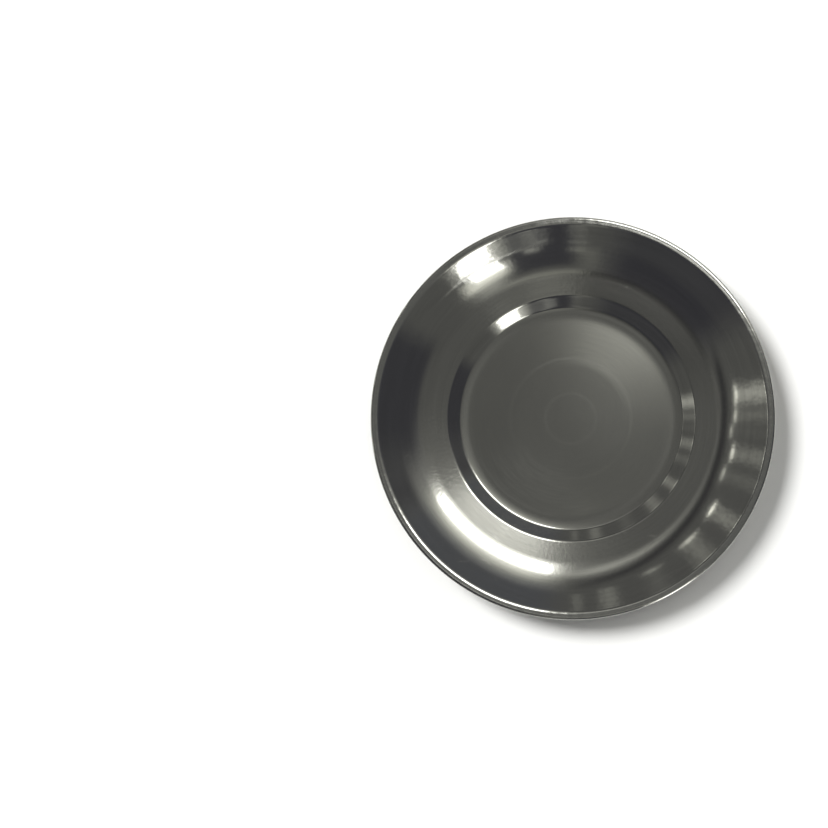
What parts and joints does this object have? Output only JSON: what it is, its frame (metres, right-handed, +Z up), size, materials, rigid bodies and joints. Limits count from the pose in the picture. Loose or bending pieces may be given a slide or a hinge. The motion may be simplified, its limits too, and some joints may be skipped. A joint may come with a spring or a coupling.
{
  "type": "side plate",
  "caption": "Round stainless-steel side plate with a sunken flat well, a gently sloping ledge, a dished wall and a rolled rim.",
  "frame": {"origin": "centre of the flat underside that rests on the table", "axes": "+Z up along the plate's axis of rotation; X and Y lie level, and the picture looks straight down with +X to its right and +Y to its top"},
  "size_m": [0.18, 0.18, 0.018],
  "materials": {
    "steel": "stainless steel, polished round the ledge and wall, satin in the well"
  },
  "bodies": {
    "root": {"plate": "steel"}
  },
  "joints": []
}
